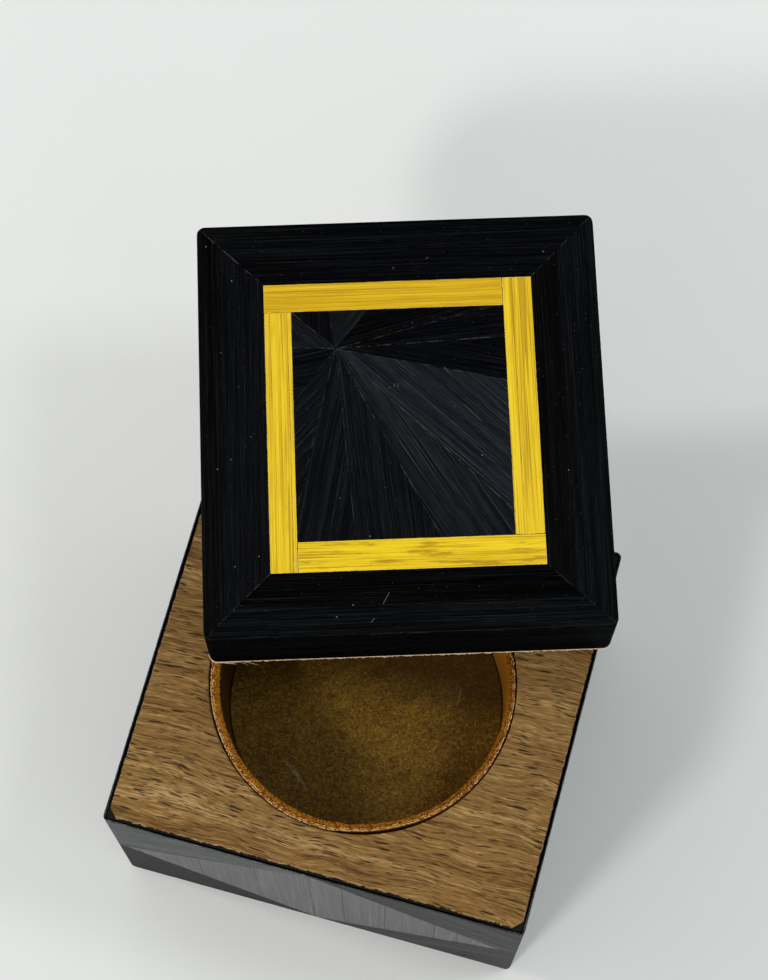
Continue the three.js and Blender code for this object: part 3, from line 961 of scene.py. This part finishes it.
# The ribbon's ends meet at the front: the left end lies tight against the oak, the right end stands
# off it. Angles in degrees, with how far the ribbon is moved outwards there.
RIBBON_JOIN = [(-180, 0), (-142, -0.02), (-120, 0.08), (-110, 0.12), (-87, 0.12), (-83.5, -0.10),
               (-77, -0.24), (-67, -0.30), (-61, -0.31), (-51, -0.20), (-40, -0.06), (-30, 0), (180, 0)]


def ribbon_radius(angles):
    """The radius of the ribbon's backing."""
    degrees = (np.degrees(angles) + 180) % 360 - 180
    wavy = 0.02 * np.sin(5 * angles + 1) + 0.015 * np.sin(13 * angles)
    return RIBBON_RADIUS + wavy + np.interp(degrees, *zip(*RIBBON_JOIN))


def cake_reach(angles):
    """How far the loose cake reaches from the well's middle, with a little room."""
    return CAKE_RADIUS + 0.06 + (CAKE_CENTRE - WELL_CENTRE)[0] * np.cos(angles)


def ribbon_sheet(count=420):
    """Backing and pile as one closed skin, its top rounded over towards the well."""
    angles = np.linspace(0, 2 * math.pi, count, endpoint=False)
    radius = ribbon_radius(angles)
    profile = [(0.0, h) for h in np.linspace(RIBBON_LOW, RIBBON_HIGH - 0.12, 14)]
    profile += [(-0.05, RIBBON_HIGH - 0.04), (-0.3, RIBBON_HIGH - 0.06), (-0.5, RIBBON_HIGH - 0.2),
                (-0.7, RIBBON_HIGH - 0.45), (-0.8, RIBBON_HIGH - 0.8)]
    profile += [(-0.86, h) for h in np.linspace(RIBBON_HIGH - 1.4, RIBBON_LOW, 26)]
    loops = []
    for offset, height in profile:
        ripple = 0.04 * np.sin(3 * angles + height * 0.2) * (offset < -0.5)
        plump = smooth_step((RIBBON_HIGH - 0.8 - height) / 9) * (offset < -0.82)
        reach = (radius + offset + ripple) * (1 - plump) + cake_reach(angles) * plump
        loops.append(circle(reach, height, count))
    points, faces = loft(loops, False, False)
    last = (len(loops) - 1) * count
    for j in range(count):
        k = (j + 1) % count
        faces.append((last + j, last + k, k, j))
    return make_mesh("velvet_ribbon", points, faces)


def fibres(name, start, direction, length, width, waist, bright, tip_bright, **same):
    """Tapered fibres as closed three-sided needles. waist is their width two thirds of the way up, and
    same holds values that are equal for all their points."""
    count = len(start)
    up = np.array([0, 0, 1.0])
    side = np.cross(direction, up)
    side /= np.linalg.norm(side, axis=1, keepdims=True)
    lift = np.cross(side, direction)
    rings = []
    for share, thick in ((0.0, 1.0), (0.65, waist)):
        centre = start + direction * length[:, None] * share
        for i in range(3):
            angle = 2 * math.pi * i / 3
            outwards = side * math.cos(angle) + lift * math.sin(angle)
            rings.append(centre + outwards * width[:, None] * thick)
    rings.append(start + direction * length[:, None])
    points = np.stack(rings, axis=1).reshape(-1, 3)
    faces = []
    for i in range(count):
        b = 7 * i
        faces.append((b + 2, b + 1, b))
        for j in range(3):
            k = (j + 1) % 3
            faces.append((b + j, b + k, b + 3 + k, b + 3 + j))
            faces.append((b + 3 + j, b + 3 + k, b + 6))
    # Each fibre is darker at its root: painted shade down in the pile and the weave.
    steps = np.array([0.35, 0.35, 0.35, 1, 1, 1, 1])
    shade = np.outer(bright, steps) + np.outer(tip_bright, [0, 0, 0, 0.3, 0.3, 0.3, 1])
    values = {"shade": np.clip(shade, 0, 1).ravel()}
    for key, value in same.items():
        values[key] = np.full(len(points), value)
    return make_mesh(name, points, faces, values, sharp=80)


def round_ribbon(angles, inset, height):
    """Points at a height, and at an inset from the outside of the ribbon's backing."""
    return around(angles, ribbon_radius(angles) - inset, height, WELL_CENTRE)


def around_well(angles, inwards, along, up):
    """Unit directions from their parts towards the well's middle, along the ribbon and up."""
    inward = np.stack([-np.cos(angles), -np.sin(angles), np.zeros(len(angles))], axis=1)
    sideways = np.stack([-np.sin(angles), np.cos(angles), np.zeros(len(angles))], axis=1)
    direction = inward * inwards[:, None] + sideways * along[:, None]
    direction[:, 2] += up
    return direction / np.linalg.norm(direction, axis=1, keepdims=True)


def selvedge_stitches(rows=4, count=420):
    """The ribbon's woven edge: rows of short pale threads slanting to and fro, over rust ones."""
    rng = np.random.default_rng(53)
    parts = []
    for row in range(rows):
        angles = (np.arange(count) + 0.5 * (row % 2) + rng.normal(0, 0.10, count)) * 2 * math.pi / count
        inset = np.full(count, 0.02 + 0.125 * row) + rng.normal(0, 0.012, count)
        height = RIBBON_HIGH + 0.02 - 0.05 * (row - 1) ** 2 / 2 + rng.normal(0, 0.012, count)
        slant = -0.55 if row % 2 else 0.55
        direction = around_well(angles, np.full(count, slant) + rng.normal(0, 0.15, count),
                                np.ones(count), rng.normal(0.05, 0.05, count))
        length = rng.uniform(0.28, 0.40, count)
        width = rng.uniform(0.045, 0.068, count)
        dark = rng.uniform(0, 1, count) < 0.38
        bright = np.where(dark, rng.uniform(0.0, 0.25, count), rng.uniform(0.55, 1.1, count))
        parts.append((round_ribbon(angles, inset, height), direction, length, width, bright))
    start, direction, length, width, bright = [np.concatenate(part) for part in zip(*parts)]
    return fibres("velvet_selvedge", start, direction, length, width, 0.9, bright, bright * 0.1)


def pile_tufts(count=19000):
    """The velvet's pile at the ribbon's top edge: tapered tufts that lean in over the well."""
    rng = np.random.default_rng(47)
    angles = rng.uniform(0, 2 * math.pi, count)
    over = rng.uniform(0, 1, count)       # 0 at the selvedge, 1 down on the wall
    inset = 0.36 + 0.5 * np.minimum(over * 1.4, 1)
    height = RIBBON_HIGH - 0.10 - 0.42 * over - 0.8 * np.clip(over - 0.7, 0, 1)
    direction = around_well(angles, 0.9 + rng.normal(0, 0.2, count), rng.normal(0, 0.35, count),
                            rng.normal(0.9, 0.35, count) - 0.5 * over)
    start = round_ribbon(angles, inset, height)
    length = rng.uniform(0.22, 0.55, count)
    # The longest tufts stop short of the cake's way up.
    room = ribbon_radius(angles) - inset - cake_reach(angles)
    room /= np.hypot(direction[:, 0], direction[:, 1])
    clumps = 261
    thick = np.interp(angles, np.linspace(0, 2 * math.pi, clumps), rng.uniform(0.35, 1.0, clumps))
    length = np.minimum(length, np.maximum(room * thick, 0.12))
    width = rng.uniform(0.026, 0.050, count)
    bright = np.clip(rng.normal(0.50, 0.28, count), 0.02, 1)
    return fibres("velvet_pile", start, direction, length, width, 0.8, bright, 0.5 * rng.uniform(0, 1, count))


def lid_splinters(count=26):
    """Pale slivers torn from the board's lower edge, near its front left corner."""
    rng = np.random.default_rng(59)
    x = -LID_HALF_X + 0.4 + 7.5 * rng.uniform(0, 1, count) ** 1.4
    start = lid_to_row(x, -LID_HALF_Y - rng.uniform(-0.12, 0.05, count), rng.uniform(0.08, 0.26, count))
    heading = LID_TURN + rng.normal(0, 0.16, count) - 0.10
    rise = rng.normal(0.0, 0.03, count)
    direction = np.stack([np.cos(heading), np.sin(heading), rise], axis=1)
    direction /= np.linalg.norm(direction, axis=1, keepdims=True)
    length = rng.uniform(0.7, 2.4, count)
    width = rng.uniform(0.03, 0.06, count)
    return fibres("lid_splinters", start, direction, length, width, 0.7, np.ones(count), np.zeros(count),
                  raw=1.0, rim=FAR)


finish_piece(lid_splinters(), "lid", oak, "oak")


def pad_disc(count=160):
    radius = (PAD_HIGH[0] - PAD_LOW[0]) / 2
    low, high = PAD_LOW[2], PAD_HIGH[2]
    profile = [(radius - 0.1, low), (radius, low + 0.15), (radius, high - 0.2), (radius - 0.15, high)]
    profile += [(radius * share, high) for share in (0.8, 0.5, 0.2)]
    points, faces = loft([circle(*ring, count) for ring in profile])
    return make_mesh("velvet_pad", points, faces)


ribbon = finish_piece(ribbon_sheet(), "box", velvet, "velvet", "well_lining_ribbon")
selvedge_piece = finish_piece(selvedge_stitches(), "box", selvedge, "velvet")
pile_piece = finish_piece(pile_tufts(), "box", pile, "velvet")
pad = finish_piece(pad_disc(), "box", velvet, "velvet", "well_floor_pad")


# ---- the rosin ----
def rosin_cake(count=220, low_edge=0.8, top_edge=0.25):
    """The disc. Its edges are rounded, and its top is slightly uneven."""
    low, high = CAKE_LOW[2], CAKE_HIGH[2]
    profile = [(CAKE_RADIUS * 0.5, low)]

    def add_edge(size, height, start, step, steps):
        for i in range(steps):
            angle = math.radians(start + step * i)
            profile.append((CAKE_RADIUS - size + size * math.cos(angle), height + size * math.sin(angle)))

    add_edge(low_edge, low + low_edge, -90, 22.5, 5)
    for share in (0.25, 0.5, 0.75):
        profile.append((CAKE_RADIUS, low + low_edge + (high - low - 2 * low_edge) * share))
    add_edge(top_edge, high - top_edge, 0, 18, 6)
    loops = [circle(*ring, count, CAKE_CENTRE) for ring in profile]
    for share in np.linspace(1, 0, 46)[1:-1]:
        ring = circle((CAKE_RADIUS - top_edge) * share, high - 0.04, count, CAKE_CENTRE)
        for point in ring:
            x, y, _ = point
            for scale, layer, depth in ((0.2, 5.0, 0.03), (1.1, 9.0, 0.012)):
                point[2] += noise.noise(Vector((x * scale, y * scale, layer))) * depth
        loops.append(ring)
    points, faces = loft(loops)
    return make_mesh("rosin_disc", points, faces, sharp=50)


finish_piece(rosin_cake(), "cake", rosin, "rosin", "rosin_cake")


# ---- floor and light ----
def floor_look():
    look = Look("floor")
    paper = look.noise(look.in_mm(), 0.03, detail=2)
    colour = look.mix(paper, (0.75, 0.747, 0.727), (0.78, 0.777, 0.757))
    return look.set(Base_Color=colour, Roughness=0.7, Specular_IOR_Level=0.2)


def floor_plane(half=3000.0):
    points = [(x, y, 0) for x, y in rectangle(-half, -half, half, half)]
    plane = make_mesh("floor", points, [(0, 1, 2, 3)])
    plane.data.materials.append(floor_look())


floor_plane()


def sky(ramp, strength):
    """A dome of soft light whose colour depends on the sine of its elevation."""
    world = bpy.data.worlds.new("studio")
    bpy.context.scene.world = world
    world.use_nodes = True
    tree = world.node_tree
    place = tree.nodes.new("ShaderNodeTexCoord")
    parts = tree.nodes.new("ShaderNodeSeparateXYZ")
    colours = tree.nodes.new("ShaderNodeValToRGB")
    tree.links.new(place.outputs["Generated"], parts.inputs[0])
    tree.links.new(parts.outputs["Z"], colours.inputs[0])
    points = colours.color_ramp.elements
    while len(points) < len(ramp):
        points.new(0.5)
    for point, (height, colour) in zip(points, ramp):
        point.position = height
        point.color = (*colour, 1)
    ground = tree.nodes["Background"]
    tree.links.new(colours.outputs[0], ground.inputs["Color"])
    ground.inputs["Strength"].default_value = strength


sky([(0.0, (0.93, 0.98, 1.0)), (0.5, (0.93, 0.98, 1.0)), (0.62, (0.42, 0.445, 0.46)),
     (0.78, (0.27, 0.285, 0.3)), (0.9, (0.02, 0.02, 0.022))], strength=1.40)


def softbox(name, azimuth, elevation, distance, size, power, colour):
    """A rectangular lamp aimed at the box; azimuth is anticlockwise from +X in the row frame."""
    lamp = bpy.data.lights.new(name, "AREA")
    lamp.shape = "RECTANGLE"
    lamp.size, lamp.size_y = size
    lamp.energy = power
    lamp.color = colour
    holder = bpy.data.objects.new(name, lamp)
    bpy.context.scene.collection.objects.link(holder)
    a, e = math.radians(azimuth), math.radians(elevation)
    away = Vector((math.cos(a) * math.cos(e), math.sin(a) * math.cos(e), math.sin(e)))
    holder.location = away * distance + Vector((0, 0, 0.03))
    holder.rotation_euler = away.to_track_quat("Z", "Y").to_euler()


# Three windows, each of which casts one of the soft shadows on the floor: azimuth and elevation in
# degrees, distance and size in metres, power and colour.
WINDOWS = {
    "front window": (-118, 41, 2.0, (0.28, 0.3), 12, (1.0, 0.985, 0.96)),
    "left window": (180, 35, 2.0, (0.25, 0.3), 12, (1.0, 0.98, 0.95)),
    "right window": (23, 61, 0.5, (0.1, 0.1), 0.4, (0.97, 1.0, 1.0)),
}
for name, window in WINDOWS.items():
    softbox(name, *window)
